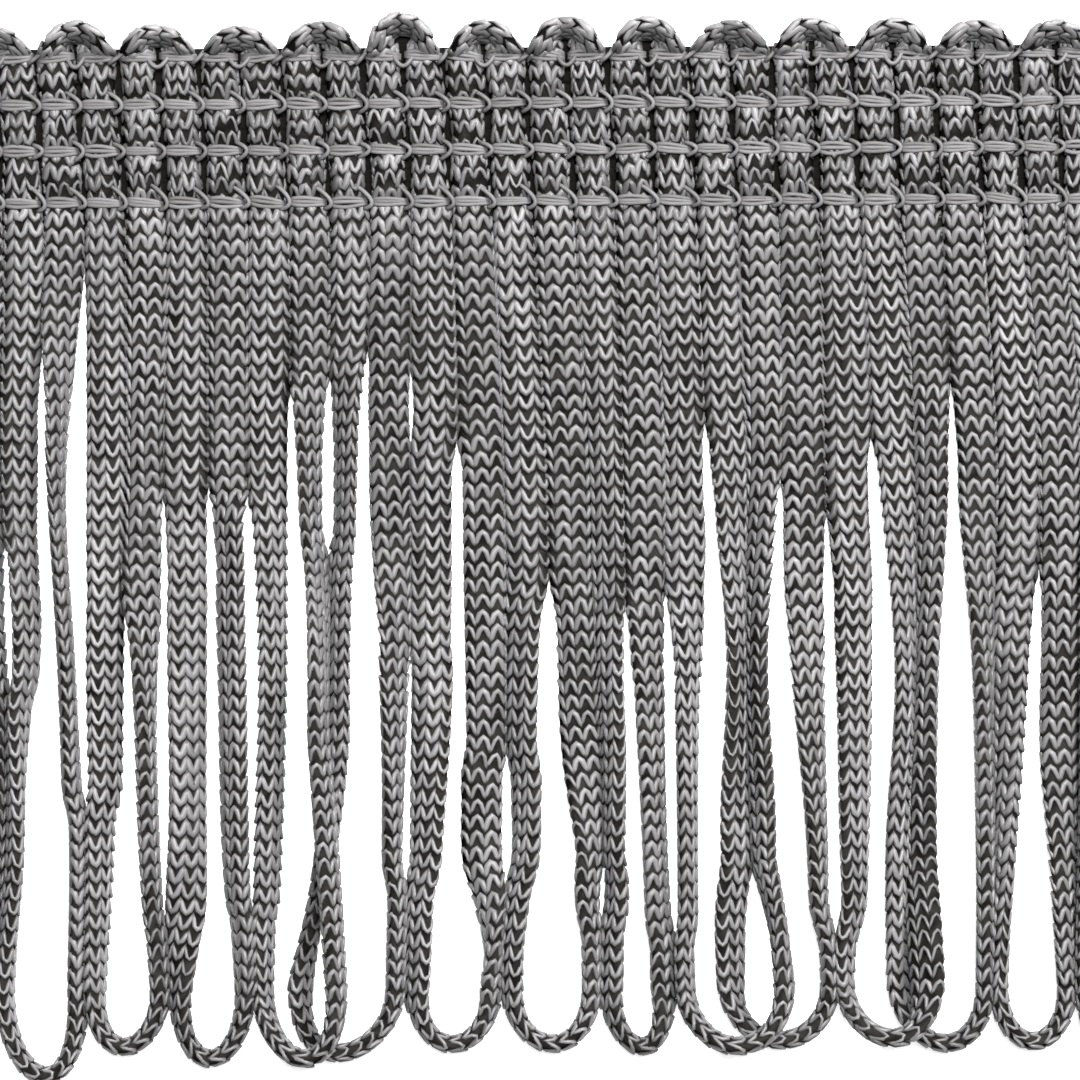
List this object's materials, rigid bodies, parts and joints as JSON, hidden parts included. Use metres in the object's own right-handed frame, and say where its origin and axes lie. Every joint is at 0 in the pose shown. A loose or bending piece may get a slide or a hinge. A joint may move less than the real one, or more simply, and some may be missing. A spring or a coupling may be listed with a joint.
{
  "type": "looped fringe",
  "caption": "Cut length of grey looped fringe: a flat knitted cord hangs in long loops from a heading bound by rows of chain stitch, with small scallops along the top edge.",
  "frame": {"origin": "middle of the heading's flat back, on the surface the fringe lies on", "axes": "+X along the heading, +Y from the loops to the scallops, +Z out of the face"},
  "size_m": [0.0911, 0.0779, 0.0055],
  "materials": {
    "cord": "silky knitted rayon",
    "chain_thread": "silky twisted thread"
  },
  "bodies": {
    "root": {"fringe": "cord", "chain_row_1": "chain_thread", "chain_row_2": "chain_thread", "chain_row_3": "chain_thread", "chain_row_4": "chain_thread"}
  },
  "joints": []
}
